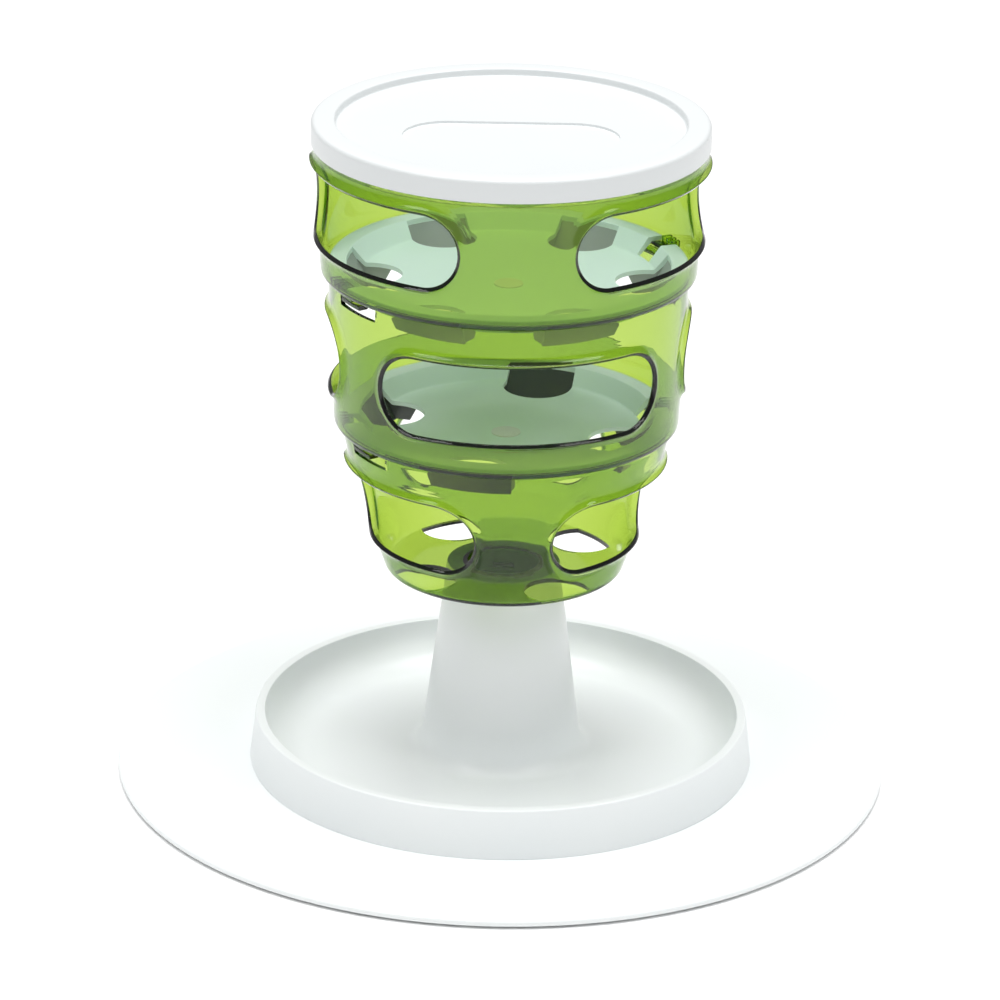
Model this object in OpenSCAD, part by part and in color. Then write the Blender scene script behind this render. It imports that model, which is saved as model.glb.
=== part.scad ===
// Cat treat maze: a wide plate, a food dish with a trunk, three windowed tiers, two shelves and a lid.
// Millimetres. The axis of the tree is Z, the floor is z = 0 and the front faces -Y.
// Azimuths are in degrees, 0 at the front and growing towards +X.

/* [Base plate] */
// Radius of the round plate
plate_radius = 175; // [150:1:220]
// Thickness of the plate
plate_thickness = 3; // [2.5:0.5:6]
// Rounding of the plate's edge
plate_edge_round = 1.2; // [0.5:0.1:1.2]
// Distance from the plate's edge to the soft ring
grip_inset = 11; // [6:1:30]
// Width of the soft ring
grip_width = 8; // [4:1:14]
// How far the soft ring stands below the plate
grip_proud = 1; // [0.5:0.1:3]
// Depth of the groove that holds the soft ring
grip_depth = 1; // [0.5:0.1:1.2]

/* [Dish] */
// Outer radius of the dish where it stands on the plate
dish_foot_radius = 114.7; // [100:0.1:130]
// How far the dish's wall leans in from foot to rim
dish_wall_lean = 2.7; // [1:0.1:4]
// Height of the dish above the plate
dish_height = 22.4; // [18:0.1:40]
// Width of the flat rim
dish_rim_width = 4.2; // [3.6:0.1:6]
// Wall thickness of the dish and the trunk
dish_wall = 2.4; // [1.8:0.1:3]
// Rounding of the rim's edges
dish_rim_round = 0.8; // [0.3:0.1:1.2]
// Height of the bowl's floor above the plate
bowl_floor_rise = 3.4; // [3.2:0.1:8]

/* [Trunk] */
// Height of the trunk's top above the plate
trunk_height = 94; // [70:1:140]
// Outer radius of the trunk's top
trunk_top_radius = 25.5; // [24:0.1:32]
// Outer radius of the trunk at the bowl's floor, before the fillet
trunk_foot_radius = 37; // [30:0.5:44]
// Radius of the fillet between the trunk and the bowl
trunk_fillet = 10; // [4:0.5:14]

/* [Tier walls] */
// Wall thickness of the tiers
tier_wall = 2.4; // [1.8:0.1:3]
// Thickness of the ledge that carries a shelf
ledge_thickness = 2.2; // [1.6:0.1:3]
// How far a tier's bottom edge stands out beyond the tier below
tier_step = 3.4; // [2:0.1:6]
// How far a window's lip stands out from the wall
lip_proud = 2; // [1:0.1:3]
// Width of a window's lip, seen from the front
lip_width = 1.8; // [1.2:0.1:3]

/* [Upper tier] */
// Height from the bottom edge to the lid's shoulder
upper_height = 58.7; // [50:0.1:80]
// Outer radius of the bottom edge
upper_bottom_radius = 83.4; // [78:0.1:90]
// How far the wall leans out from the bottom edge to the shoulder under the lid
upper_flare = 3.1; // [1:0.1:6]
// Height of the windows
upper_window_height = 36; // [26:0.5:40]
// Height of the windows' middle above the bottom edge
upper_window_middle = 34.1; // [30:0.1:36]
// Width of the pillars between the windows
upper_pillar_width = 48; // [24:1:70]
// Azimuth of the first window's middle
upper_window_azimuth = 62.5; // [0:0.1:120]

/* [Middle tier] */
// Height from the bottom edge to the collar's top
middle_height = 70.4; // [60:0.1:90]
// Outer radius of the bottom edge
middle_bottom_radius = 77.2; // [74:0.1:79]
// Height of the windows
middle_window_height = 38; // [26:0.5:40]
// Height of the windows' middle above the bottom edge
middle_window_middle = 35; // [30:0.1:36]
// Width of the pillars between the windows
middle_pillar_width = 29.5; // [22:0.5:60]
// Azimuth of the first window's middle
middle_window_azimuth = 5.2; // [0:0.1:120]

/* [Lower tier] */
// Height from the floor's underside to the collar's top
lower_height = 69.6; // [62:0.1:90]
// Radius of the flat underside
lower_floor_radius = 51; // [48:0.1:54]
// Thickness of the floor
lower_floor_thickness = 2.2; // [1.8:0.1:3]
// Rounding between the floor and the wall
lower_corner_round = 3.5; // [3.5:0.1:7]
// How far the wall's fullest place stays inside the collar's outer edge
lower_bulge_inset = 2.3; // [0.8:0.1:6]
// Height of the fullest place above the underside
lower_bulge_height = 52; // [44:1:60]
// Height of the windows
lower_window_height = 37; // [26:0.5:37]
// Height of the windows' middle above the underside
lower_window_middle = 34.8; // [33.5:0.1:38]
// Width of the pillars between the windows
lower_pillar_width = 31.5; // [24:0.5:50]
// Azimuth of the first window's middle
lower_window_azimuth = 63.7; // [0:0.1:120]
// Radius of the floor's drop holes
lower_hole_radius = 14.5; // [8:0.5:16]
// Distance of the drop holes from the axis
lower_hole_offset = 42.5; // [40:0.5:44]
// Azimuth of the first drop hole
lower_hole_azimuth = 33.5; // [0:0.5:90]

/* [Spigot] */
// Outer radius of the lower tier's spigot
spigot_radius = 18.2; // [14:0.1:19]
// Length of the spigot below the floor
spigot_length = 11; // [9:0.5:20]
// Wall thickness of the spigot
spigot_wall = 2; // [1.6:0.1:3]
// Angle that a spigot lug covers
spigot_lug_angle = 30; // [20:1:40]
// How far a spigot lug stands out
spigot_lug_proud = 2.2; // [1:0.1:2.4]
// Twist that frees the spigot
spigot_twist = 30; // [20:1:40]
// Azimuth of the first spigot lug
spigot_azimuth = 0; // [0:1:180]

/* [Bayonet between tiers] */
// Azimuth of the first lug
lug_azimuth = 119.6; // [60:0.1:179]
// Angle that a lug covers
lug_angle = 11.5; // [6:0.1:14]
// Twist that brings a lug under its way out
lug_twist = 8; // [5:0.1:10]
// Height of a lug
lug_height = 2; // [1.6:0.1:4]
// Height of the wall above a slot
slot_roof = 2; // [1.5:0.1:3]
// Height of a slot
slot_height = 4.4; // [4.1:0.1:6]
// Thickness of the tongue that carries a lug
tongue_thickness = 1.7; // [1.2:0.1:2.4]

/* [Shelves] */
// Thickness of a shelf
shelf_thickness = 2; // [1.6:0.1:2.6]
// Depth of a shelf's floor below its rim
shelf_depth = 7.6; // [5:0.1:10]
// Width of the sloped wall between floor and rim
shelf_slope = 6; // [4:0.1:10]
// Depth to which an apron hangs below the shelf's floor
apron_drop = 7; // [3:0.1:9]
// How far an apron leans in from its top to its bottom edge
apron_lean = 8; // [4:0.1:9]
// How far an apron reaches past its drop hole on each side
apron_margin = 2.5; // [1:0.1:4]
// Length of an apron's side walls under the shelf's floor
apron_side = 14; // [9:0.5:18]
// Radius of the moulding mark in the middle of a shelf
shelf_mark_radius = 6.5; // [3:0.5:10]
// Height of the moulding mark
shelf_mark_height = 0.6; // [0.3:0.1:1.5]
// Distance of the moulding mark from the axis, towards the front
shelf_mark_offset = 8; // [0:0.5:12]
// Number of drop holes in the upper shelf
upper_hole_count = 6; // [3:1:6]
// Half width of the upper shelf's drop holes
upper_hole_radius = 15; // [8:0.5:16]
// Distance of their round ends from the axis
upper_hole_offset = 62; // [52:0.5:62]
// Azimuth of the upper shelf's first drop hole
upper_hole_azimuth = 28.5; // [0:0.5:60]
// Number of drop holes in the middle shelf
middle_hole_count = 4; // [3:1:5]
// Half width of the middle shelf's drop holes
middle_hole_radius = 15.5; // [8:0.5:16]
// Distance of their round ends from the axis
middle_hole_offset = 54; // [46:0.5:56]
// Azimuth of the middle shelf's first drop hole
middle_hole_azimuth = 75; // [0:0.5:90]
// Angle that a key on the ledge covers
key_angle = 7; // [5:0.5:12]
// Angle by which the notch in a shelf's rim is wider than the key
notch_room = 3; // [1.5:0.5:8]
// Azimuth of the upper tier's first key
upper_key_azimuth = 114; // [106:0.5:118]
// Azimuth of the middle tier's first key
middle_key_azimuth = 100; // [97:0.5:112]
// How far a key reaches in over the rim
key_depth = 2.6; // [1.5:0.1:3.5]
// Height of a key above the shelf's rim
key_rise = 1.2; // [0.5:0.1:3]

/* [Lid] */
// How far the lid stands out beyond the tier
lid_overhang = 1.4; // [0.5:0.1:3]
// Height of the neck inside the lid
neck_height = 8.6; // [6:0.1:14]
// Wall thickness of the lid
lid_wall = 2.4; // [1.8:0.1:3]
// Width of the lid's raised rim
lid_rim_width = 10.6; // [9:0.1:20]
// Depth of the sunk panel below the rim
panel_depth = 3.5; // [2:0.1:5]
// Rounding of the rim's outer edge
lid_round = 2.2; // [0.8:0.1:2.4]
// Length of the stadium recess in the panel
recess_length = 95; // [60:1:110]
// Width of the stadium recess
recess_width = 41; // [20:1:46]
// Depth of the stadium recess
recess_depth = 1; // [0.4:0.1:1.2]
// Distance of the recess from the axis, towards the front
recess_offset = 13.5; // [0:0.5:16]

/* [Dish lock] */
// Angle that a lock lug on the plate covers
lock_angle = 14; // [10:1:20]
// Angle that a catch on the dish covers
catch_angle = 12; // [8:1:18]
// Number of lock lugs
lock_count = 3; // [2:1:5]
// How far a lock lug stands out from its ring
lock_proud = 2.6; // [1.6:0.1:2.8]
// Height of a lock lug and of a catch
lock_height = 2.2; // [1.6:0.1:3]

/* [Fits] */
// Gap between parts that slide or twist on each other
running_gap = 0.4; // [0.3:0.05:0.6]
// Gap between the tongue and the collar round it
collar_gap = 1; // [0.9:0.05:1.4]
// Gap between a shelf's rim and the tier's wall
rim_gap = 1.2; // [0.6:0.1:2]
// Gap between the ring on the plate and the dish's wall
ring_gap = 4; // [3.6:0.1:5]
// Angle left free on each side of a lug
lug_play = 0.45; // [0.3:0.05:1]

/* [Hidden] */
$fn = 96;
white = "whitesmoke";
green = "yellowgreen";
window_count = 3;
lug_count = 2;
lower_hole_count = 4;
// Overlap that joins the shapes of one piece, and length by which a cut runs past a face
bond = 0.5;
past = 1;
// How far an apron's side walls stand in from its ends
side_inset = 0.3;
// How far a window's flat edges stop short of its round ends
ease = 0.02;
curve_steps = 8;

// Heights
plate_top = grip_proud + plate_thickness;
dish_rim_z = plate_top + dish_height;
bowl_floor_z = plate_top + bowl_floor_rise;
trunk_top_z = plate_top + trunk_height;
lower_z = trunk_top_z;
middle_z = lower_z + lower_height;
upper_z = middle_z + middle_height;
shoulder_z = upper_z + upper_height;
neck_top_z = shoulder_z + neck_height;

// Radii of the tiers
upper_top_radius = upper_bottom_radius + upper_flare;
middle_top_radius = upper_bottom_radius - tier_step;
lower_top_radius = middle_bottom_radius - tier_step;
lower_bulge_radius = lower_top_radius - lower_bulge_inset;
upper_ledge_radius = middle_top_radius - tier_wall - collar_gap - tongue_thickness - running_gap;
middle_ledge_radius = lower_top_radius - tier_wall - collar_gap - tongue_thickness - running_gap;
upper_rim_radius = upper_bottom_radius - tier_wall - rim_gap;
middle_rim_radius = middle_bottom_radius - tier_wall - rim_gap;

// Outer wall of the lower tier, from its foot to its collar
lower_lean = atan2(lower_bulge_radius - lower_floor_radius - lower_corner_round,
                   lower_bulge_height - lower_corner_round);
lower_foot = [lower_floor_radius + lower_corner_round * cos(lower_lean),
              lower_z + lower_corner_round * (1 - sin(lower_lean))];
lower_bulge = [lower_bulge_radius, lower_z + lower_bulge_height];
lower_brim = [lower_top_radius, middle_z];

// Outer radius of each tier's wall at a height
function upper_wall(z) =
    upper_bottom_radius + upper_flare * (z - upper_z) / upper_height;
function middle_wall(z) =
    middle_bottom_radius + (middle_top_radius - middle_bottom_radius) * (z - middle_z) / middle_height;

// Points of an arc and of a smooth curve pulled towards its middle point
function arc(x, z, r, from, to, steps = curve_steps) =
    [for (i = [0:steps]) let (a = from + (to - from) * i / steps) [x + r * cos(a), z + r * sin(a)]];
function curve(a, b, c) =
    [for (i = [0:curve_steps]) let (t = i / curve_steps)
        (1 - t) * (1 - t) * a + 2 * t * (1 - t) * b + t * t * c];
function shifted(points, dx) = [for (p = points) [p[0] + dx, p[1]]];
function reversed(points) = [for (i = [len(points) - 1:-1:0]) points[i]];
// Distance along a line that passes beside the axis to a circle round the axis
function chord(radius, across) = sqrt(radius * radius - across * across);
function wall_at(points, z) = lookup(z, [for (p = points) [p[1], p[0]]]);

// Ring section that spans an angle about an azimuth
module ring_sector(inner, outer, low, high, azimuth, span) {
    rotate([0, 0, azimuth - 90 - span / 2])
        rotate_extrude(angle = span)
            translate([inner, low])
                square([outer - inner, high - low]);
}

// Solid of a window with full round ends, running out from the axis
module window_solid(z, radius, half_angle, azimuth, inner, outer) {
    ring_sector(inner, outer, z - radius + ease, z + radius - ease, azimuth, 2 * half_angle);
    for (side = [-1, 1])
        rotate([0, 0, azimuth - 90 + side * half_angle])
            translate([inner, 0, z])
                rotate([0, 90, 0])
                    cylinder(r = radius, h = outer - inner);
}

// All windows of one tier, grown by a margin
module windows(z, height, pillar, azimuth, wall_radius, margin) {
    radius = height / 2;
    half_pillar = pillar / wall_radius * 90 / PI;
    half_angle = 180 / window_count - half_pillar - asin(radius / wall_radius);
    inner = wall_radius - 4 * tier_wall - lip_proud;
    outer = wall_radius + 4 * tier_wall + lip_proud;
    for (i = [0:window_count - 1])
        window_solid(z, radius + margin, half_angle, azimuth + i * 360 / window_count, inner, outer);
}

// Skin that the windows' lips are cut from, along a wall given from bottom to top
module lip_skin(wall) {
    rotate_extrude()
        polygon(concat(shifted(wall, lip_proud), reversed(shifted(wall, -tier_wall / 2))));
}

// Slots and ways in, cut in a collar for the lugs of the tier above
module collar_slots(top, wall_radius) {
    slot_angle = lug_angle + lug_twist + 2 * lug_play;
    entry_angle = lug_angle + 3 * lug_play;
    inner = wall_radius - 4 * tier_wall;
    outer = wall_radius + tier_wall;
    for (i = [0:lug_count - 1]) {
        azimuth = lug_azimuth + i * 360 / lug_count;
        ring_sector(inner, outer, top - slot_roof - slot_height, top - slot_roof,
                    azimuth + lug_twist / 2, slot_angle);
        ring_sector(inner, outer, top - slot_roof - bond, top + past, azimuth + lug_twist, entry_angle);
    }
}

// Tongues with lugs under a tier, and keys on its ledge
module lugs_and_keys(bottom, ledge_radius, collar_radius, wall_radius, rim_radius, key_azimuth) {
    tongue_inner = ledge_radius + running_gap;
    tongue_outer = tongue_inner + tongue_thickness;
    lug_top = bottom - slot_roof - running_gap;
    lug_low = lug_top - lug_height;
    for (i = [0:lug_count - 1]) {
        azimuth = lug_azimuth + i * 360 / lug_count;
        ring_sector(tongue_inner, tongue_outer, lug_low, bottom + bond, azimuth, lug_angle);
        ring_sector(tongue_outer - bond, collar_radius - running_gap, lug_low, lug_top, azimuth, lug_angle);
        ring_sector(rim_radius - key_depth, wall_radius - tier_wall / 2, bottom + ledge_thickness - bond,
                    bottom + ledge_thickness + shelf_thickness + key_rise,
                    key_azimuth + i * 360 / lug_count, key_angle);
    }
}

// Shelf with drop holes, hanging by its rim on a ledge
module shelf(bottom, ledge_radius, rim_radius, key_azimuth, count, hole_radius, hole_offset, hole_azimuth) {
    body_radius = ledge_radius - running_gap;
    edge_radius = body_radius - shelf_thickness;
    floor_radius = edge_radius - shelf_slope;
    rim_low = bottom + ledge_thickness;
    rim_top = rim_low + shelf_thickness;
    floor_top = rim_top - shelf_depth;
    floor_low = floor_top - shelf_thickness;
    apron_radius = body_radius - apron_lean;
    apron_half_angle = asin((hole_radius + apron_margin) / apron_radius);
    difference() {
        union() {
            rotate_extrude()
                polygon([[0, floor_low], [floor_radius, floor_low], [body_radius, rim_low],
                         [rim_radius, rim_low], [rim_radius, rim_top], [edge_radius, rim_top],
                         [floor_radius, floor_top], [0, floor_top]]);
            translate([0, -shelf_mark_offset, floor_top - bond])
                cylinder(r = shelf_mark_radius, h = bond + shelf_mark_height);
        }
        for (i = [0:count - 1])
            drop_hole(floor_low - past, rim_top + past, hole_radius, hole_offset, edge_radius,
                      hole_azimuth + i * 360 / count);
        for (i = [0:lug_count - 1])
            ring_sector(floor_radius + running_gap, rim_radius + past, floor_low - past, rim_top + past,
                        key_azimuth + i * 360 / lug_count + notch_room / 2 - lug_play,
                        key_angle + notch_room);
    }
    for (i = [0:count - 1])
        rotate([0, 0, hole_azimuth - 90 + i * 360 / count - apron_half_angle])
            rotate_extrude(angle = 2 * apron_half_angle)
                polygon([[apron_radius - shelf_thickness, floor_low - apron_drop],
                         [apron_radius, floor_low - apron_drop], [body_radius, rim_low + bond],
                         [edge_radius + bond, rim_low + bond]]);
    across = hole_radius + apron_margin - side_inset;
    side_low = floor_low - apron_drop + bond;
    side_start = apron_radius - apron_side;
    for (i = [0:count - 1], side = [-1, 1])
        rotate([0, 0, hole_azimuth - 90 + i * 360 / count])
            translate([0, side * (across - shelf_thickness / 2), 0])
                rotate([90, 0, 0])
                    linear_extrude(height = shelf_thickness, center = true)
                        polygon([[side_start, floor_low + bond], [side_start + apron_drop / 2, side_low],
                                 [chord(apron_radius, across) - side_inset, side_low],
                                 [chord(body_radius, across) - side_inset, rim_low],
                                 [chord(edge_radius, across), rim_low],
                                 [chord(floor_radius, across), floor_low + bond]]);
}

// Drop hole with a round inner end, open towards the shelf's sloped wall
module drop_hole(low, high, radius, offset_radius, edge_radius, azimuth) {
    intersection() {
        rotate([0, 0, azimuth - 90])
            translate([offset_radius, 0, low]) {
                cylinder(r = radius, h = high - low);
                translate([0, -radius, 0])
                    cube([edge_radius, 2 * radius, high - low]);
            }
        translate([0, 0, low - past])
            cylinder(r = edge_radius, h = high - low + 2 * past);
    }
}

module grip_ring() {
    outer = plate_radius - grip_inset;
    color("dimgray")
        rotate_extrude()
            translate([outer - grip_width, 0])
                square([grip_width, grip_proud + grip_depth]);
}

module base_plate() {
    groove_outer = plate_radius - grip_inset;
    edge = plate_radius - plate_edge_round;
    ring_outer = dish_foot_radius - dish_wall - ring_gap;
    lug_low = plate_top + lock_height + 3 * running_gap;
    lug_top = lug_low + lock_height;
    stop_angle = 2;
    color(white) {
        difference() {
            rotate_extrude()
                polygon(concat(
                    [[0, grip_proud]],
                    arc(edge, grip_proud + plate_edge_round, plate_edge_round, -90, 0),
                    arc(edge, plate_top - plate_edge_round, plate_edge_round, 0, 90),
                    [[0, plate_top]]));
            rotate_extrude()
                translate([groove_outer - grip_width, grip_proud - past])
                    square([grip_width, grip_depth + past]);
        }
        rotate_extrude()
            translate([ring_outer - dish_wall, plate_top - bond])
                square([dish_wall, lug_top - plate_top + bond + running_gap]);
        for (i = [0:lock_count - 1]) {
            azimuth = i * 360 / lock_count;
            ring_sector(ring_outer - bond, ring_outer + lock_proud, lug_low, lug_top, azimuth, lock_angle);
            ring_sector(ring_outer - 2 * bond, ring_outer + lock_proud - bond,
                        plate_top - bond, lug_low + bond,
                        azimuth - catch_angle / 2 - lug_play - stop_angle / 2, stop_angle);
        }
    }
}

module dish() {
    rim_radius = dish_foot_radius - dish_wall_lean;
    bowl_round = dish_height - bowl_floor_rise;
    bowl_middle = rim_radius - dish_rim_width - bowl_round;
    lean = atan2(trunk_foot_radius - trunk_top_radius, trunk_top_z - bowl_floor_z);
    taper = tan(lean);
    fillet_z = bowl_floor_z + trunk_fillet;
    fillet_r = trunk_foot_radius - taper * trunk_fillet + trunk_fillet / cos(lean);
    socket_floor = trunk_top_z - spigot_length - 2 * running_gap;
    hollow_top = socket_floor - dish_wall;
    hollow_round = bowl_round + dish_wall;
    rim_void = dish_rim_z - 3 * dish_wall;
    rim_void_edge = bowl_middle + sqrt(pow(hollow_round, 2) - pow(dish_rim_z - rim_void, 2));
    skirt_slope = dish_wall_lean / dish_height;
    color(white)
        difference() {
            union() {
                rotate_extrude()
                    difference() {
                        polygon(concat(
                            [[0, plate_top], [dish_foot_radius, plate_top]],
                            arc(rim_radius - dish_rim_round, dish_rim_z - dish_rim_round, dish_rim_round,
                                0, 90),
                            arc(bowl_middle, dish_rim_z, bowl_round, 0, -90),
                            arc(fillet_r, fillet_z, trunk_fillet, 270, 180 + lean),
                            [[trunk_top_radius, trunk_top_z], [0, trunk_top_z]]));
                        polygon(concat(
                            [[0, plate_top - past], [dish_foot_radius - dish_wall, plate_top - past],
                             [dish_foot_radius - dish_wall, plate_top],
                             [dish_foot_radius - dish_wall - skirt_slope * (rim_void - plate_top), rim_void],
                             [rim_void_edge, rim_void]],
                            arc(bowl_middle, dish_rim_z, hollow_round,
                                -acos((rim_void_edge - bowl_middle) / hollow_round), -90),
                            arc(fillet_r, fillet_z, trunk_fillet + dish_wall, 270, 180 + lean),
                            [[trunk_top_radius + taper * (trunk_top_z - hollow_top) - dish_wall / cos(lean),
                              hollow_top], [0, hollow_top]]));
                    }
                for (i = [0:lock_count - 1])
                    ring_sector(dish_foot_radius - dish_wall - ring_gap + 2 * running_gap,
                                dish_foot_radius - dish_wall / 2, plate_top + running_gap,
                                plate_top + running_gap + lock_height, i * 360 / lock_count, catch_angle);
            }
            trunk_socket(socket_floor);
        }
}

// Socket in the trunk's top, with a groove and ways in for the spigot's lugs
module trunk_socket(floor_z) {
    groove = spigot_radius + spigot_lug_proud + running_gap;
    lug_low = lower_z - spigot_length + spigot_wall;
    lug_top = lug_low + lug_height;
    groove_angle = spigot_lug_angle + spigot_twist + 2 * lug_play;
    entry_angle = spigot_lug_angle + 3 * lug_play;
    translate([0, 0, floor_z])
        cylinder(r = spigot_radius + running_gap, h = trunk_top_z - floor_z + past);
    for (i = [0:lug_count - 1]) {
        azimuth = spigot_azimuth + i * 360 / lug_count;
        ring_sector(spigot_radius - bond, groove, lug_low - running_gap, lug_top + running_gap,
                    azimuth + spigot_twist / 2, groove_angle);
        ring_sector(spigot_radius - bond, groove + running_gap / 2, lug_top, trunk_top_z + past,
                    azimuth + spigot_twist, entry_angle);
    }
}

module lower_tier() {
    outside = curve(lower_foot, lower_bulge, lower_brim);
    inner_corner = lower_corner_round - lower_floor_thickness;
    corner_z = lower_z + lower_corner_round;
    window_z = lower_z + lower_window_middle;
    spigot_low = lower_z - spigot_length;
    inside = [for (p = reversed(shifted(outside, -tier_wall))) if (p[1] > corner_z) p];
    color(green, 0.6)
        difference() {
            union() {
                rotate_extrude()
                    polygon(concat(
                        [[0, spigot_low], [spigot_radius, spigot_low], [spigot_radius, lower_z]],
                        arc(lower_floor_radius, corner_z, lower_corner_round, -90, -lower_lean),
                        outside,
                        inside,
                        arc(lower_floor_radius, corner_z, inner_corner, -lower_lean, -90),
                        [[spigot_radius - spigot_wall, lower_z + lower_floor_thickness],
                         [spigot_radius - spigot_wall, spigot_low + spigot_wall],
                         [0, spigot_low + spigot_wall]]));
                intersection() {
                    windows(window_z, lower_window_height, lower_pillar_width, lower_window_azimuth,
                            wall_at(outside, window_z), lip_width);
                    lip_skin(outside);
                }
                for (i = [0:lug_count - 1])
                    ring_sector(spigot_radius - bond, spigot_radius + spigot_lug_proud,
                                spigot_low + spigot_wall, spigot_low + spigot_wall + lug_height,
                                spigot_azimuth + i * 360 / lug_count, spigot_lug_angle);
            }
            windows(window_z, lower_window_height, lower_pillar_width, lower_window_azimuth,
                    wall_at(outside, window_z), 0);
            collar_slots(middle_z, lower_top_radius);
            intersection() {
                for (i = [0:lower_hole_count - 1])
                    rotate([0, 0, lower_hole_azimuth - 90 + i * 360 / lower_hole_count])
                        translate([lower_hole_offset, 0, lower_z - past])
                            cylinder(r = lower_hole_radius, h = lower_floor_thickness + 2 * past);
                translate([0, 0, lower_z - 2 * past])
                    cylinder(r = lower_floor_radius, h = lower_floor_thickness + 4 * past);
            }
        }
}

module middle_tier() {
    window_z = middle_z + middle_window_middle;
    ledge_top = middle_z + ledge_thickness;
    wall = [[middle_bottom_radius, middle_z], [middle_top_radius, upper_z]];
    color(green, 0.6)
        difference() {
            union() {
                rotate_extrude()
                    polygon(concat(wall, [
                        [middle_top_radius - tier_wall, upper_z],
                        [middle_wall(ledge_top) - tier_wall, ledge_top],
                        [middle_ledge_radius, ledge_top], [middle_ledge_radius, middle_z]]));
                intersection() {
                    windows(window_z, middle_window_height, middle_pillar_width, middle_window_azimuth,
                            middle_wall(window_z), lip_width);
                    lip_skin(wall);
                }
                lugs_and_keys(middle_z, middle_ledge_radius, lower_top_radius, middle_bottom_radius,
                              middle_rim_radius, middle_key_azimuth);
            }
            windows(window_z, middle_window_height, middle_pillar_width, middle_window_azimuth,
                    middle_wall(window_z), 0);
            collar_slots(upper_z, middle_top_radius);
        }
}

module upper_tier() {
    window_z = upper_z + upper_window_middle;
    ledge_top = upper_z + ledge_thickness;
    neck_radius = upper_top_radius + lid_overhang - lid_wall - running_gap;
    neck_run = 4;
    wall = [[upper_bottom_radius, upper_z], [upper_top_radius, shoulder_z]];
    color(green, 0.6)
        difference() {
            union() {
                rotate_extrude()
                    polygon(concat(wall, [
                        [neck_radius, shoulder_z], [neck_radius, neck_top_z],
                        [neck_radius - tier_wall, neck_top_z], [neck_radius - tier_wall, shoulder_z],
                        [upper_wall(shoulder_z - neck_run) - tier_wall, shoulder_z - neck_run],
                        [upper_wall(ledge_top) - tier_wall, ledge_top],
                        [upper_ledge_radius, ledge_top], [upper_ledge_radius, upper_z]]));
                intersection() {
                    windows(window_z, upper_window_height, upper_pillar_width, upper_window_azimuth,
                            upper_wall(window_z), lip_width);
                    lip_skin(wall);
                }
                lugs_and_keys(upper_z, upper_ledge_radius, middle_top_radius, upper_bottom_radius,
                              upper_rim_radius, upper_key_azimuth);
            }
            windows(window_z, upper_window_height, upper_pillar_width, upper_window_azimuth,
                    upper_wall(window_z), 0);
        }
}

module middle_shelf() {
    color(white)
        shelf(middle_z, middle_ledge_radius, middle_rim_radius, middle_key_azimuth, middle_hole_count,
              middle_hole_radius, middle_hole_offset, middle_hole_azimuth);
}

module upper_shelf() {
    color(white)
        shelf(upper_z, upper_ledge_radius, upper_rim_radius, upper_key_azimuth, upper_hole_count,
              upper_hole_radius, upper_hole_offset, upper_hole_azimuth);
}

module lid() {
    lid_radius = upper_top_radius + lid_overhang;
    lid_top_z = neck_top_z + lid_wall;
    skirt_z = shoulder_z + running_gap;
    panel_z = lid_top_z - panel_depth;
    panel_radius = lid_radius - lid_rim_width;
    recess_round = recess_width / 2;
    recess_run = recess_length - recess_width;
    color(white)
        difference() {
            rotate_extrude()
                polygon(concat(
                    [[0, panel_z], [panel_radius, panel_z], [panel_radius, lid_top_z]],
                    arc(lid_radius - lid_round, lid_top_z - lid_round, lid_round, 90, 0),
                    [[lid_radius, skirt_z], [lid_radius - lid_wall, skirt_z],
                     [lid_radius - lid_wall, neck_top_z], [panel_radius + lid_wall, neck_top_z],
                     [panel_radius + lid_wall, panel_z - lid_wall], [0, panel_z - lid_wall]]));
            translate([-recess_run / 2, -recess_offset, panel_z - recess_depth]) {
                cylinder(r = recess_round, h = recess_depth + past);
                translate([recess_run, 0, 0])
                    cylinder(r = recess_round, h = recess_depth + past);
                translate([0, -recess_round, 0])
                    cube([recess_run, recess_width, recess_depth + past]);
            }
        }
}

grip_ring();
base_plate();
dish();
lower_tier();
middle_shelf();
middle_tier();
upper_shelf();
upper_tier();
lid();
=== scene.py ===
import math

import bmesh
import bpy
from bpy.props import FloatProperty, FloatVectorProperty, IntProperty, PointerProperty
from mathutils import Matrix, Vector


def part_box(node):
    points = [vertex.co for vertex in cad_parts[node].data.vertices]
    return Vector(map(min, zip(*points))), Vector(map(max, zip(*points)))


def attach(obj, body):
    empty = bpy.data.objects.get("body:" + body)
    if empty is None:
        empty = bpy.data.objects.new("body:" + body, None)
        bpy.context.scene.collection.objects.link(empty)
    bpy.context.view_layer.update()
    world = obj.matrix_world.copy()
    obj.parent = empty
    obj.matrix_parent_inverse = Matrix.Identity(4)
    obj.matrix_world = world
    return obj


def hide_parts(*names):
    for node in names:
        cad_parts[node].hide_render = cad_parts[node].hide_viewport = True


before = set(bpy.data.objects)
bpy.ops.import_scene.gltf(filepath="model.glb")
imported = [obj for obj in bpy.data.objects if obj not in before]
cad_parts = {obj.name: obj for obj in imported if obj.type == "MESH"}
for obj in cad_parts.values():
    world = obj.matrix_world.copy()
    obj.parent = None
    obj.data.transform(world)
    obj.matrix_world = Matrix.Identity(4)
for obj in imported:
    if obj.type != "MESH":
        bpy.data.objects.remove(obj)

bl_info = {
    "name": "Cat treat maze",
    "version": (1, 0, 0),
    "blender": (4, 5, 0),
    "location": "View3D > Sidebar > Treat maze",
    "description": "Dresses the solids of a three-storey treat tree for cats",
    "category": "Object",
}

MM = 0.001
TURN = 2 * math.pi
# Azimuths of a pair of locks
HALVES = (0, math.pi)
# Places closer than this count as one
SAME = MM / 50
# Play between pieces that slide or twist
CLEAR = 0.4 * MM
# How far an extra solid reaches into the piece that it joins
SUNK = 0.5 * MM
# From a tier's bottom edge in to its shelf's rim
RIM_INSET = 3.6 * MM
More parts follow.
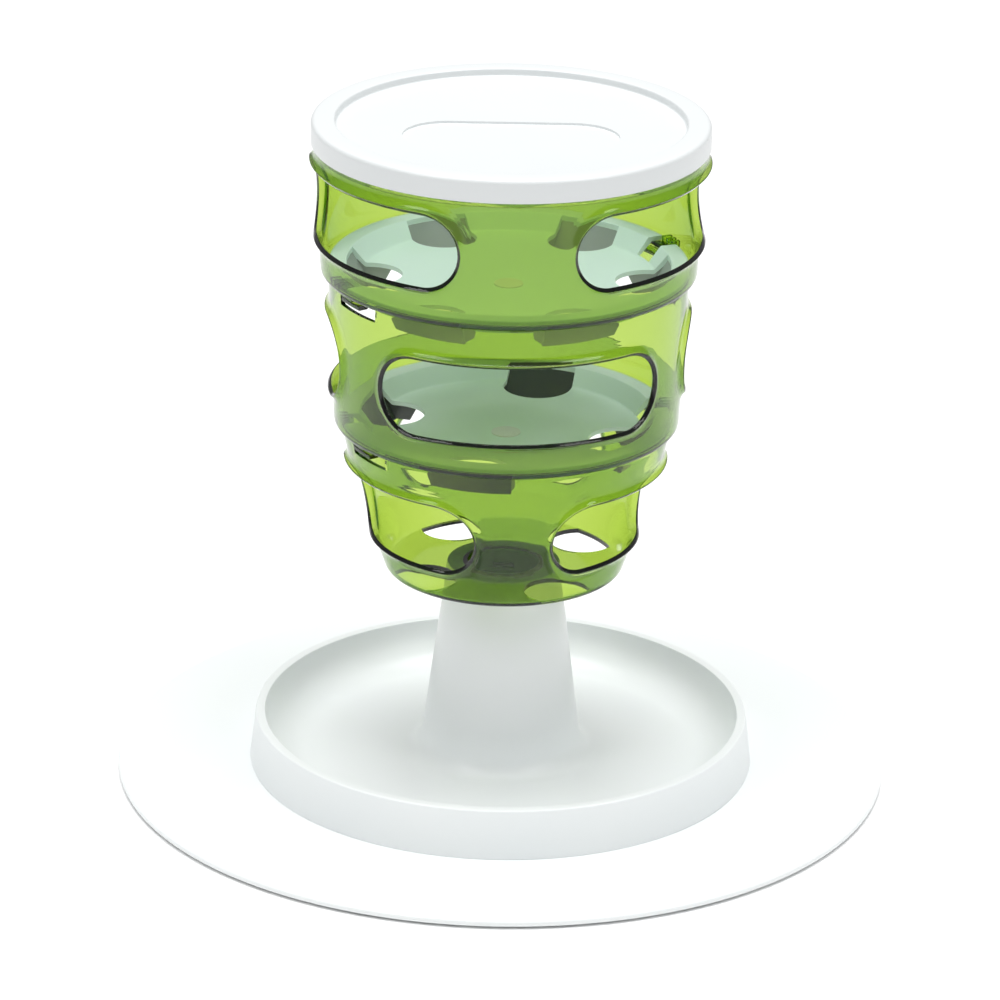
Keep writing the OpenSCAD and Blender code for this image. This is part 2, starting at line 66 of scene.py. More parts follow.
# Turning play of a bayonet lug in its slot
PLAY = math.radians(0.45)
# Angle that a lug of the spigot covers, and the twist that frees it
SPIGOT_LUG, SPIGOT_TWIST = math.radians(30), math.radians(30)
# Steps of a whole turn for the small blocks
FINE = 288
# Shares of the lamplight that pass straight through the lid and the green walls
LID_PASS = (0.66, 0.68, 0.68)
GREEN_PASS = (0.82, 0.82, 0.82)
# Light and camera of the studio, in metres, watts, degrees and millimetres of lens
WORLD_STRENGTH = 0.28
LAMPS = [
    ("top", (0.0, 0.2, 4.0), 3.6, 165.0),
    ("left", (-1.7, -1.2, 2.0), 1.2, 11.0),
    ("right", (1.7, -1.2, 2.0), 1.2, 12.0),
]
LAMP_AIM = Vector((0, 0, 0.15))
CAMERA_DOWN, CAMERA_ROLL = math.radians(21.487), math.radians(1.014)
CAMERA_TARGET, CAMERA_DISTANCE = Vector((-0.002116, 0, 0.128497)), 2.25156
CAMERA_LENS = 179.87

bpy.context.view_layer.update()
PLATE_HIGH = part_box("base_plate")[1]
LID_LOW, LID_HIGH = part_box("lid")


# Properties

def linear(code):
    """Linear red, green and blue of an sRGB hex colour."""
    parts = [int(code[i:i + 2], 16) / 255 for i in (1, 3, 5)]
    return [p / 12.92 if p <= 0.04045 else ((p + 0.055) / 1.055) ** 2.4 for p in parts]


def length(label, words, mm):
    return FloatProperty(name=label, description=words, default=mm * MM, min=0, precision=4, unit="LENGTH")


def angle(label, words, degrees):
    return FloatProperty(name=label, description=words, default=math.radians(degrees), unit="ROTATION")


def number(label, words, amount):
    return IntProperty(name=label, description=words, default=amount, min=3)


def colour(label, words, code):
    return FloatVectorProperty(name=label, description=words, default=linear(code), size=3,
                               min=0, max=1, subtype="COLOR")


class BaseSizes(bpy.types.PropertyGroup):
    plate_radius: length("Plate radius", "Radius of the round plate", PLATE_HIGH[0] / MM)
    plate_low: length("Plate underside", "Height of the plate's underside", 1)
    plate_top: length("Plate top", "Height of the plate's top", 4)
    edge_round: length("Edge rounding", "Rounding of the plate's edge", 1.2)
    ring_inner: length("Soft ring, inside", "Inner radius of the soft ring", 156)
    ring_outer: length("Soft ring, outside", "Outer radius of the soft ring", 164)
    lock_radius: length("Lock ring", "Outer radius of the ring that holds the dish", 108.3)


class DishSizes(bpy.types.PropertyGroup):
    foot_radius: length("Foot radius", "Outer radius where the dish stands on the plate", 114.7)
    rim_radius: length("Rim radius", "Outer radius of the rim", 112)
    rim_height: length("Rim height", "Height of the rim", 26.4)
    rim_width: length("Rim width", "Width of the flat rim", 4.2)
    rim_round: length("Rim rounding", "Rounding of the rim's outer edge", 0.9)
    floor_height: length("Bowl floor", "Height of the bowl's floor", 7.4)
    wall: length("Wall", "Wall thickness of the dish", 2.4)
    trunk_foot: length("Trunk foot", "Radius of the trunk at the bowl's floor", 37)
    trunk_top: length("Trunk top", "Radius of the trunk's top", 25.5)
    trunk_height: length("Trunk height", "Height of the trunk's top", 98)
    trunk_fillet: length("Trunk fillet", "Radius of the fillet round the trunk's foot", 10)


class UpperTierSizes(bpy.types.PropertyGroup):
    bottom: length("Bottom", "Height of the bottom edge", 238)
    top: length("Shoulder", "Height of the shoulder under the lid", 296.7)
    bottom_radius: length("Bottom radius", "Outer radius of the bottom edge", 83.4)
    top_radius: length("Shoulder radius", "Outer radius of the shoulder", 86.5)
    ledge_radius: length("Ledge", "Inner radius of the ledge that carries the shelf", 74.5)
    collar_radius: length("Collar below", "Outer radius of the collar that takes the lugs", 80)
    neck_radius: length("Neck", "Outer radius of the neck inside the lid", 85.1)
    neck_top: length("Neck top", "Height of the neck's top", 305.3)
    window_height: length("Window height", "Height of the windows", 36)
    window_middle: length("Window middle", "Height of the windows' middle", 272.1)
    pillar: length("Pillar", "Width of the pillars between the windows", 48)
    azimuth: angle("Window azimuth", "Azimuth of the first window, from the front towards +X", 62.5)
    key_azimuth: angle("Key azimuth", "Azimuth of the first key on the ledge", 114)


class MiddleTierSizes(bpy.types.PropertyGroup):
    bottom: length("Bottom", "Height of the bottom edge", 167.6)
    top: length("Top", "Height of the collar's top", 238)
    bottom_radius: length("Bottom radius", "Outer radius of the bottom edge", 77.2)
    top_radius: length("Collar radius", "Outer radius of the collar", 80)
    ledge_radius: length("Ledge", "Inner radius of the ledge that carries the shelf", 68.3)
    collar_radius: length("Collar below", "Outer radius of the collar that takes the lugs", 73.8)
    window_height: length("Window height", "Height of the windows", 38)
    window_middle: length("Window middle", "Height of the windows' middle", 202.6)
    pillar: length("Pillar", "Width of the pillars between the windows", 29.5)
    azimuth: angle("Window azimuth", "Azimuth of the first window, from the front towards +X", 5.2)
    key_azimuth: angle("Key azimuth", "Azimuth of the first key on the ledge", 100)


class LowerTierSizes(bpy.types.PropertyGroup):
    bottom: length("Underside", "Height of the floor's underside", 98)
    top: length("Top", "Height of the collar's top", 167.6)
    floor_radius: length("Floor radius", "Radius of the flat underside", 51)
    corner: length("Corner", "Rounding between floor and wall", 3.5)
    bulge_radius: length("Bulge radius", "Radius towards which the wall swells", 71.5)
    bulge_height: length("Bulge height", "Height of the wall's fullest place", 150)
    top_radius: length("Collar radius", "Outer radius of the collar", 73.8)
    window_height: length("Window height", "Height of the windows", 37)
    window_middle: length("Window middle", "Height of the windows' middle", 132.8)
    pillar: length("Pillar", "Width of the pillars between the windows", 31.5)
    azimuth: angle("Window azimuth", "Azimuth of the first window, from the front towards +X", 63.7)
    hole_radius: length("Hole radius", "Radius of the floor's drop holes", 14.5)
    hole_offset: length("Hole offset", "Distance of the drop holes from the axis", 42.5)
    hole_azimuth: angle("Hole azimuth", "Azimuth of the first drop hole", 33.5)
    spigot_radius: length("Spigot radius", "Outer radius of the spigot in the trunk", 18.2)
    spigot_length: length("Spigot length", "Length of the spigot below the floor", 11)


class ShellSizes(bpy.types.PropertyGroup):
    wall: length("Tier wall", "Wall thickness of the see-through tiers", 2.1)
    rest: length("Rest gap", "Hairline gap where one piece rests on another", 0.1)
    lip_reach: length("Lip reach", "How far a window's lip turns out from the wall", 2.4)
    lip_run: length("Lip run", "Width over which the wall bends out to the lip", 5.5)
    foot_round: length("Foot rounding", "Rounding of a tier's bottom edge", 2.6)
    edge: length("Moulded edge", "Rounding of the moulded edges", 0.5)
    lug_azimuth: angle("Lug azimuth", "Azimuth of the first bayonet lug", 119.6)
    lug_span: angle("Lug width", "Angle that a lug covers", 11.5)
    lug_twist: angle("Lug twist", "Twist that frees a lug", 8)
    lug_height: length("Lug height", "Height of a bayonet lug", 2)
    key_span: angle("Key width", "Angle that a key on the ledge covers", 7)


class ShelfSizes(bpy.types.PropertyGroup):
    thickness: length("Thickness", "Thickness of a shelf", 2)
    depth: length("Depth", "Depth of the floor below the rim", 7.6)
    slope: length("Slope", "Width of the sloped wall", 6)
    apron_drop: length("Apron drop", "Depth of an apron below the floor", 7)
    apron_lean: length("Apron lean", "How far an apron leans in", 8)
    apron_side: length("Apron side", "Length of an apron's side walls under the floor", 14)
    mark_radius: length("Mark radius", "Radius of the moulding mark", 6.5)
    mark_offset: length("Mark offset", "Distance of the moulding mark from the axis", 8)
    upper_holes: number("Upper holes", "Drop holes in the upper shelf", 6)
    upper_hole_radius: length("Upper hole", "Half width of the upper shelf's drop holes", 15)
    upper_hole_offset: length("Upper hole offset", "Distance of their round ends from the axis", 62)
    upper_hole_azimuth: angle("Upper hole azimuth", "Azimuth of the first drop hole", 28.5)
    middle_holes: number("Middle holes", "Drop holes in the middle shelf", 4)
    middle_hole_radius: length("Middle hole", "Half width of the middle shelf's drop holes", 15.5)
    middle_hole_offset: length("Middle hole offset", "Distance of their round ends from the axis", 54)
    middle_hole_azimuth: angle("Middle hole azimuth", "Azimuth of the first drop hole", 75)


class LidSizes(bpy.types.PropertyGroup):
    radius: length("Lid radius", "Outer radius of the lid", LID_HIGH[0] / MM)
    top: length("Lid top", "Height of the lid's rim", LID_HIGH[2] / MM)
    skirt: length("Skirt", "Height of the skirt's lower edge", LID_LOW[2] / MM)
    wall: length("Wall", "Wall thickness of the lid", 2.4)
    rim_width: length("Rim width", "Width of the raised rim", 10.6)
    panel_depth: length("Panel depth", "Depth of the sunk panel", 3.5)
    rim_round: length("Rim rounding", "Rounding of the rim's outer edge", 2.2)
    recess_length: length("Recess length", "Length of the stadium recess", 95)
    recess_width: length("Recess width", "Width of the stadium recess", 41)
    recess_depth: length("Recess depth", "Depth of the stadium recess", 1)
    recess_offset: length("Recess offset", "Distance of the recess from the axis, towards the front", 13.5)


class Finishes(bpy.types.PropertyGroup):
    white: colour("White", "Colour of the white mouldings", "#F9FCFC")
    white_shade: colour("White, shaded", "Slightly cooler white of the moulding's drift", "#F5F9FA")
    # The lid's white is greyed all over as painted shade, to dim its sides.
    lid: colour("Lid", "White of the thin lid, greyed by painted shade", "#E5E8E8")
    lid_shade: colour("Lid, shaded", "Cooler white of the lid's drift", "#E1E5E6")
    # The shelves are the dish's white plastic; their cold green cast is painted green light from the tinted
    # walls.
    green_lit_white: colour("Shelf white, painted green light", "White of the shelves with painted green light", "#E6F8F1")
    green_lit_white_drift: colour("Shelf white, painted green light, drift", "Cooler tone of the shelves' drift", "#E0F4EE")
    # The aprons are the shelves' white plastic; these greys are painted shade, half shade under the upper
    # shelf and deep shade under the middle one.
    pale_apron: colour("Apron, painted half shade", "Grey painted as half shade on the aprons under the upper shelf", "#A3AAA6")
    half_shade_apron_drift: colour("Apron, painted half shade, drift", "Darker grey of their drift", "#9AA19D")
    apron: colour("Apron, painted deep shade", "Grey painted as deep shade on the aprons under the middle shelf", "#3E4440")
    deep_shade_apron_drift: colour("Apron, painted deep shade, drift", "Darker grey of their drift", "#383E3A")
    green: colour("Green", "Tint that a thick green wall lets through", "#D4E628")
    rubber: colour("Rubber", "Colour of the soft ring", "#3A3C3C")
    rubber_dust: colour("Rubber, dusty", "Paler bloom on the soft ring", "#4B4D4C")
    floor: colour("Floor", "Colour of the studio floor", "#FCFCFC")


# Modelling

def fresh():
    """Leaves edit mode with nothing selected."""
    if bpy.context.object and bpy.context.object.mode != "OBJECT":
        bpy.ops.object.mode_set(mode="OBJECT")
    bpy.ops.object.select_all(action="DESELECT")


def work_on(piece, mode="OBJECT"):
    fresh()
    piece.select_set(True)
    bpy.context.view_layer.objects.active = piece
    bpy.ops.object.mode_set(mode=mode)


def pick(test):
    """Selects, in edit mode, the vertices that pass the test."""
    piece = bpy.context.edit_object
    mesh = bmesh.from_edit_mesh(piece.data)
    for part in (*mesh.faces, *mesh.edges, *mesh.verts):
        part.select = False
    for vertex in mesh.verts:
        vertex.select = test(vertex)
    if not any(vertex.select for vertex in mesh.verts):
        raise RuntimeError("no vertex to pick on " + piece.name)
    mesh.select_flush_mode()
    bmesh.update_edit_mesh(piece.data)


def outwards(azimuth):
    """Unit vector from the axis at an azimuth, 0 at the front and growing towards +X."""
    return Vector((math.sin(azimuth), -math.cos(azimuth), 0))


def rounded(corners, steps=8):
    """Points of an outline of (radius, height, fillet) corners, with each corner rounded by its fillet."""
    points = []
    for i, (x, z, fillet) in enumerate(corners):
        here = Vector((x, z))
        if not fillet:
            points.append(here)
            continue
        back = (Vector(corners[i - 1][:2]) - here).normalized()
        on = (Vector(corners[(i + 1) % len(corners)][:2]) - here).normalized()
        half = back.angle(on) / 2
        middle = here + (back + on).normalized() * fillet / math.sin(half)
        start = here + back * fillet / math.tan(half) - middle
        sweep = math.pi - 2 * half
        if back.x * on.y - back.y * on.x > 0:
            sweep = -sweep
        for k in range(steps + 1):
            turn = Matrix.Rotation(sweep * k / steps, 2)
            points.append(middle + turn @ start)
    return points


def arc(x, z, radius, start, end, steps=12):
    """Corners along an arc, without fillets."""
    turns = [math.radians(start + (end - start) * k / steps) for k in range(steps + 1)]
    return [(x + radius * math.cos(a), z + radius * math.sin(a), 0) for a in turns]


def chain(name, spots, closed):
    """Row of edges through places, left in edit mode."""
    fresh()
    bpy.ops.mesh.primitive_plane_add(size=MM)
    piece = bpy.context.object
    piece.name = name
    bpy.ops.object.mode_set(mode="EDIT")
    bpy.ops.mesh.select_all(action="SELECT")
    bpy.ops.mesh.merge(type="CENTER")
    bpy.ops.transform.translate(value=spots[0])
    for before, after in zip(spots, spots[1:]):
        bpy.ops.mesh.extrude_vertices_move(TRANSFORM_OT_translate={"value": after - before})
    if closed:
        mesh = bmesh.from_edit_mesh(piece.data)
        for vertex in mesh.verts:
            vertex.select = len(vertex.link_edges) == 1
        bmesh.update_edit_mesh(piece.data)
        bpy.ops.mesh.edge_face_add()
    bpy.ops.mesh.select_all(action="SELECT")
    return piece


def turned(name, corners, span=None, azimuth=0.0, steps=192):
    """Solid turned about the axis from a section, all round or over an angle about an azimuth."""
    points = rounded(corners)
    out = outwards(azimuth - (span or 0) / 2)
    piece = chain(name, [out * p.x + Vector((0, 0, p.y)) for p in points], points[0].x or points[-1].x)
    turn = span or TURN
    bpy.ops.mesh.spin(steps=max(4, round(steps * turn / TURN)), angle=-turn,
                      center=(0, 0, 0), axis=(0, 0, 1))
    bpy.ops.mesh.select_all(action="SELECT")
    bpy.ops.mesh.remove_doubles(threshold=MM / 200)
    if span:
        bpy.ops.mesh.select_all(action="DESELECT")
        bpy.ops.mesh.select_non_manifold()
        bpy.ops.mesh.fill_holes(sides=0)
    bpy.ops.mesh.select_all(action="SELECT")
    bpy.ops.mesh.normals_make_consistent(inside=False)
    bpy.ops.object.mode_set(mode="OBJECT")
    return piece


def slab(name, spots, across):
    """Flat plate from the outline of one face and the way to the other."""
    piece = chain(name, spots, True)
    bpy.ops.mesh.edge_face_add()
    bpy.ops.mesh.extrude_region_move(TRANSFORM_OT_translate={"value": across})
    bpy.ops.mesh.select_all(action="SELECT")
    bpy.ops.mesh.normals_make_consistent(inside=False)
    bpy.ops.object.mode_set(mode="OBJECT")
    return piece


def block(name, inner, outer, low, high, azimuth, span):
    """Block of a ring between two radii and two heights."""
    return turned(name, [(inner, low, 0), (outer, low, 0), (outer, high, 0), (inner, high, 0)],
                  span=span, azimuth=azimuth, steps=FINE)


def disc(name, radius, low, high):
    """Round disc between two heights."""
    return turned(name, [(0, low, 0), (radius, low, 0), (radius, high, 0), (0, high, 0)], steps=180)


def rod(radius, height, place):
    """Upright round rod about a place."""
    fresh()
    bpy.ops.mesh.primitive_cylinder_add(vertices=64, radius=radius, depth=height, location=place)
    bpy.ops.object.transform_apply(location=True, rotation=True, scale=True)
    return bpy.context.object


def combine(piece, tool, way):
    """Cuts the tool away from the piece, joins the two or keeps what they share."""
    work_on(piece)
    change = piece.modifiers.new("combine", "BOOLEAN")
    change.operation = way
    change.solver = "EXACT"
    change.object = tool
    bpy.ops.object.modifier_apply(modifier=change.name)
    bpy.data.objects.remove(tool, do_unlink=True)
    if len(piece.data.polygons) < 8:
        raise RuntimeError("nothing left of " + piece.name)


def add_on(piece, extra):
    """Makes an extra solid, sunk a little into an opaque piece, part of it."""
    work_on(piece)
    extra.select_set(True)
    bpy.ops.object.join()


def soften(piece, width):
    """Rounds the edges of more than 35 degrees as a mould does."""
    work_on(piece)
    change = piece.modifiers.new("soften", "BEVEL")
    change.width = width
    change.segments = 3
    change.limit_method = "ANGLE"
    change.angle_limit = math.radians(35)
    change.use_clamp_overlap = True
    bpy.ops.object.modifier_apply(modifier=change.name)


def stadium(name, long, wide, x, y, z):
    """Flat stadium on a plane at a height, made from a plane with its corners rounded off."""
    fresh()
    bpy.ops.mesh.primitive_plane_add(size=1, location=(x, y, z))
    piece = bpy.context.object
    piece.name = name
    bpy.ops.object.transform_apply(location=True, rotation=True, scale=True)
    bpy.ops.object.mode_set(mode="EDIT")
    bpy.ops.mesh.select_all(action="SELECT")
    bpy.ops.transform.resize(value=(long, wide, 1), center_override=(x, y, z))
    bpy.ops.mesh.bevel(offset_type="OFFSET", offset=wide / 2, segments=16, profile=0.5, affect="VERTICES",
                       clamp_overlap=False)
    bpy.ops.mesh.select_all(action="SELECT")
    bpy.ops.mesh.remove_doubles(threshold=SAME)
    return piece


def finish_piece(piece, material, body, slot, *nodes):
    """Gives the piece its finish and its body, and hides the solids that it stands for."""
    work_on(piece)
    bpy.ops.object.shade_smooth_by_angle(angle=math.radians(32))
    fresh()
    if not piece.data.materials:
        piece.data.materials.append(material)
    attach(piece, body)
    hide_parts(*nodes)


# Window walls of the tiers

def windowed_wall(name, tier, shell, low, high, wall):
    """Open sheet of a tier's outer wall, with three windows whose edges turn out."""
    middle = tier.window_middle
    around = wall(middle)
    radius = tier.window_height / 2
    half_pillar = tier.pillar / around / 2
    reach = (math.pi / 3 - half_pillar - math.asin(radius / around)) * around
    grown = radius + shell.lip_run
    side = math.pi / 3 * around
    x = tier.azimuth * around

    # The wall is laid out flat, with its outside towards -Y, as a stadium that the window is inset in
    sheet = stadium(name, 2 * (reach + grown), 2 * grown, 0, 0, 0)
    pick(lambda v: abs(abs(v.co.y) - grown) < SAME and abs(v.co.x) < reach + SAME)
    bpy.ops.mesh.subdivide(number_cuts=24)
    bpy.ops.object.mode_set(mode="OBJECT")
    sheet.rotation_euler = (math.pi / 2, 0, 0)
    sheet.location = (x, 0, middle)
    bpy.ops.object.transform_apply(location=True, rotation=True, scale=True)
    bpy.ops.object.mode_set(mode="EDIT")
    bpy.ops.mesh.select_all(action="SELECT")
    # Rings of the bend, as shares of the lip's run
    runs = [0, 0.3, 0.52, 0.69, 0.82, 0.92, 1]
    for near, far in zip(runs, runs[1:]):
        bpy.ops.mesh.inset(thickness=(far - near) * shell.lip_run,
                           depth=(far ** 3 - near ** 3) * shell.lip_reach, use_even_offset=True)

    # The sheet grows from the stadium's edge to a third of the whole wall
    bpy.ops.mesh.select_all(action="DESELECT")
    bpy.ops.mesh.select_non_manifold()
    bpy.ops.mesh.extrude_region_move()
    mesh = bmesh.from_edit_mesh(sheet.data)
    sets = {"high": [], "low": [], "left": [], "right": []}
    for vertex in mesh.verts:
        if vertex.select:
            across = abs(vertex.co.x - x) - reach
            up = vertex.co.z - middle
            if across <= abs(up) + SAME:
                sets["high" if up > 0 else "low"].append(vertex.index)
            else:
                sets["right" if vertex.co.x > x else "left"].append(vertex.index)
    corner = grown * math.sqrt(0.5)
    tall = (high - low) / (2 * corner)
    still = (low - tall * (middle - corner)) / (1 - tall)
    moves = {
        "high": ((side / (reach + corner), 1, 0), (x, 0, high)),
        "low": ((side / (reach + corner), 1, 0), (x, 0, low)),
        "right": ((0, 1, tall), (x + side, 0, still)),
        "left": ((0, 1, tall), (x - side, 0, still)),
    }
    for where, (value, centre) in moves.items():
        pick(lambda v: v.index in sets[where])
        bpy.ops.transform.resize(value=value, center_override=centre)
    ring = set(sets["high"] + sets["low"] + sets["left"] + sets["right"])
    bpy.ops.mesh.select_mode(type="EDGE")
    bpy.ops.mesh.select_all(action="DESELECT")
    mesh = bmesh.from_edit_mesh(sheet.data)
    for edge in mesh.edges:
        edge.select_set((edge.verts[0].index in ring) != (edge.verts[1].index in ring))
    bmesh.update_edit_mesh(sheet.data)
    bpy.ops.mesh.subdivide(number_cuts=4)

    # The window opens, the third is repeated round the tier, and the sheet is rolled up
    bpy.ops.mesh.select_mode(type="FACE")
    bpy.ops.mesh.select_all(action="DESELECT")
    mesh = bmesh.from_edit_mesh(sheet.data)
    for face in mesh.faces:
        centre = face.calc_center_median()
        face.select_set(math.hypot(max(0, abs(centre.x - x) - reach), centre.z - middle) < radius)
    bmesh.update_edit_mesh(sheet.data)
    bpy.ops.mesh.delete(type="FACE")
    bpy.ops.mesh.select_mode(type="VERT")
    bpy.ops.object.mode_set(mode="OBJECT")
    row = sheet.modifiers.new("three windows", "ARRAY")
    row.count = 3
    row.use_relative_offset = False
    row.use_constant_offset = True
    row.constant_offset_displace = (2 * side, 0, 0)
    bpy.ops.object.modifier_apply(modifier=row.name)
    roll = sheet.modifiers.new("roll up", "SIMPLE_DEFORM")
    roll.deform_method = "BEND"
    roll.deform_axis = "Z"
    roll.angle = TURN
    bpy.ops.object.modifier_apply(modifier=roll.name)
    bpy.ops.object.mode_set(mode="EDIT")
    bpy.ops.mesh.select_all(action="SELECT")
    bpy.ops.transform.translate(value=(0, -around, 0))
    bpy.ops.mesh.remove_doubles(threshold=MM / 20)
    bpy.ops.object.mode_set(mode="OBJECT")

    # Each height is drawn out to the radius that the wall has there
    for vertex in sheet.data.vertices:
        grow = wall(vertex.co.z) / around
        vertex.co.x *= grow
        vertex.co.y *= grow
    return sheet


def run_on(sheet, height, path):
    """Draws the sheet's edge at a height on along a path of (radius, height) places."""
    work_on(sheet, "EDIT")
    pick(lambda v: abs(v.co.z - height) < SAME)
    mesh = bmesh.from_edit_mesh(sheet.data)
    radius = max(v.co.xy.length for v in mesh.verts if v.select)
    for far, rise in path:
        bpy.ops.mesh.extrude_region_move(TRANSFORM_OT_translate={"value": (0, 0, rise - height)})
        bpy.ops.transform.resize(value=(far / radius, far / radius, 1), center_override=(0, 0, 0))
        radius, height = far, rise
        if not far:
            bpy.ops.mesh.merge(type="CENTER")
    bpy.ops.object.mode_set(mode="OBJECT")


def thicken(sheet, shell):
    """Gives the sheet its wall, inwards, and rounds its edges."""
    work_on(sheet)
    change = sheet.modifiers.new("wall", "SOLIDIFY")
    change.thickness = shell.wall
    change.offset = -1
    change.use_even_offset = True
    change.use_quality_normals = True
    bpy.ops.object.modifier_apply(modifier=change.name)
    soften(sheet, shell.edge)


def cut_slots(sheet, shell, top, wall_radius):
    """Cuts the bayonet slots and the ways into them in a collar."""
    inner, outer = wall_radius - 9 * MM, wall_radius + 3 * MM
    slot_low, slot_top = top - 6.4 * MM, top - 2 * MM
    for half in HALVES:
        lug = shell.lug_azimuth + half
        slot = block("slot", inner, outer, slot_low, slot_top,
                     lug + shell.lug_twist / 2, shell.lug_span + shell.lug_twist + 2 * PLAY)
        way = block("way", inner, outer, slot_top - SUNK, top + MM,
                    lug + shell.lug_twist, shell.lug_span + 3 * PLAY)
        combine(sheet, slot, "DIFFERENCE")
        combine(sheet, way, "DIFFERENCE")


def add_lugs(sheet, tier, shell):
    """Adds the tongues with their lugs under the ledge and the keys on it."""
    inner = tier.ledge_radius + CLEAR
    outer = inner + 1.7 * MM
    tip = tier.collar_radius - CLEAR
    lug_top = tier.bottom - 2.4 * MM
    lug_low = lug_top - shell.lug_height
    root = tier.bottom + 0.6 * MM
    key_inner = tier.bottom_radius - RIM_INSET - 2.6 * MM
    key_outer = tier.bottom_radius - 1.2 * MM
    key_low, key_top = tier.bottom + 1.7 * MM, tier.bottom + 5.4 * MM
    rib_span = shell.key_span * 0.2
    for half in HALVES:
        tongue = turned("tongue", [
            (inner, lug_low, 0.3 * MM), (tip, lug_low, 0.4 * MM), (tip, lug_top, 0.4 * MM),
            (outer, lug_top, 0.3 * MM), (outer, root, 0), (inner, root, 0)],
            span=shell.lug_span, azimuth=shell.lug_azimuth + half, steps=FINE)
        combine(sheet, tongue, "UNION")
        # A key is a comb of three ribs
        for rib in (-1, 0, 1):
            key = turned("key", [
                (key_inner, key_low, 0), (key_outer, key_low, 0), (key_outer, key_top, 0),
                (key_inner, key_top, 0.4 * MM)],
                span=rib_span, azimuth=tier.key_azimuth + half + rib * 2 * rib_span, steps=FINE)
            combine(sheet, key, "UNION")


def rolled_tier(name, tier, shell, top):
    """Windowed wall of a straight-sided tier up to a height, drawn in at its foot to the ledge."""
    def wall(z):
        rise = (z - tier.bottom) / (tier.top - tier.bottom)
        return tier.bottom_radius + (tier.top_radius - tier.bottom_radius) * rise

    under = tier.bottom + shell.rest
    low = under + shell.foot_round
    sheet = windowed_wall(name, tier, shell, low, top, wall)
    bend = arc(wall(low) - shell.foot_round, low, shell.foot_round, 0, -90, 5)
    run_on(sheet, low, [(x, z) for x, z, _ in bend[1:]] + [(tier.ledge_radius, under)])
    return sheet


# Finishes

def add_node(tree, kind, links=(), **settings):
    """Adds a node, sets its sockets or properties and links its inputs."""
    node = tree.nodes.new(kind)
    sockets = {socket.name.lower().replace(" ", "_"): socket for socket in reversed(node.inputs)}
    for key, value in settings.items():
        if key in sockets:
            sockets[key].default_value = value
        else:
            setattr(node, key, value)
    for name, source in dict(links).items():
        tree.links.new(source, node.inputs[name])
    return node


def new_material(name):
    material = bpy.data.materials.new(name)
    material.use_nodes = True
    material.node_tree.nodes.clear()
    return material, material.node_tree


def let_light_through(tree, shader, share):
    """Lets a share of the lamplight straight through a surface, to light what lies behind it."""
    path = add_node(tree, "ShaderNodeLightPath")
    clear = add_node(tree, "ShaderNodeBsdfTransparent", color=(*share, 1))
    both = add_node(tree, "ShaderNodeMixShader", {"Fac": path.outputs["Is Shadow Ray"]})
    tree.links.new(shader.outputs["BSDF"], both.inputs[1])
    tree.links.new(clear.outputs["BSDF"], both.inputs[2])
    return both.outputs["Shader"]


def patches(tree, size, detail):
    """Noise in patches of a size in metres, fixed to the piece."""
    place = add_node(tree, "ShaderNodeTexCoord")
    noise = add_node(tree, "ShaderNodeTexNoise", {"Vector": place.outputs["Object"]},
                     scale=1 / size, detail=detail)
    return noise.outputs["Fac"]


def between(tree, factor, low, high):
    """Value that goes from low to high with the factor."""
    return add_node(tree, "ShaderNodeMapRange", {"Value": factor}, to_min=low, to_max=high).outputs["Result"]


def blend(tree, factor, tone_a, tone_b):
    """Colour that goes from one tone to another with the factor."""
    tone = add_node(tree, "ShaderNodeMix", {"Factor": factor}, data_type="RGBA")
    tone.inputs[6].default_value = (*tone_a, 1)
    tone.inputs[7].default_value = (*tone_b, 1)
    return tone.outputs[2]


def relief(tree, height, strength, distance):
    """Normal of a fine relief."""
    bump = add_node(tree, "ShaderNodeBump", {"Height": height}, strength=strength, distance=distance)
    return bump.outputs["Normal"]


def moulded(name, tone_a, tone_b, through=None):
    """Satin moulded plastic with a slow drift of tone and a fine grain, which may let lamplight through."""
    material, tree = new_material(name)
    # Slow drift of the melt, about 60 mm across
    tone = blend(tree, patches(tree, 60 * MM, 2.0), tone_a, tone_b)
    # Spark-eroded grain of the mould, 0.8 mm, drawn coarser than the real 0.1 mm so that it shows
    grain = patches(tree, 0.8 * MM, 3.0)
    shader = add_node(tree, "ShaderNodeBsdfPrincipled", {
        "Base Color": tone, "Roughness": between(tree, grain, 0.26, 0.36),
        "Normal": relief(tree, grain, 0.04, 0.1 * MM)}, ior=1.53)
    surface = let_light_through(tree, shader, through) if through else shader.outputs["BSDF"]
    add_node(tree, "ShaderNodeOutputMaterial", {"Surface": surface})
    return material


def white_abs(look):
    """ABS, injection-moulded: an even, slightly cool white with a satin gloss and a faint flow."""
    return moulded("white ABS, moulded", look.white, look.white_shade)


def white_pp(look):
    """Polypropylene, thin-walled: a white a little greyer than the dish, the grey being painted shade that
    dims the lid's sides, on a lid that lets lamplight through to the shelf below.
    """
    return moulded("white polypropylene, thin, painted shade", look.lid, look.lid_shade, LID_PASS)


def green_lit_white_abs(look):
    """ABS, injection-moulded: the white of the shelves, with the green light that the walls let onto them
    painted in as a cold cast beside the dish.
    """
    return moulded("white ABS, painted green light", look.green_lit_white, look.green_lit_white_drift)


def half_shade_abs(look):
    """ABS, injection-moulded: the shelves' white with the half shade under the upper shelf painted on the
    aprons as a pale grey.
    """
    return moulded("white ABS, painted half shade", look.pale_apron, look.half_shade_apron_drift)


def deep_shade_abs(look):
    """ABS, injection-moulded: the shelves' white with the deep shade under the middle shelf painted on the
    aprons as a dull grey.
    """
    return moulded("grey ABS, moulded", look.apron, look.deep_shade_apron_drift)


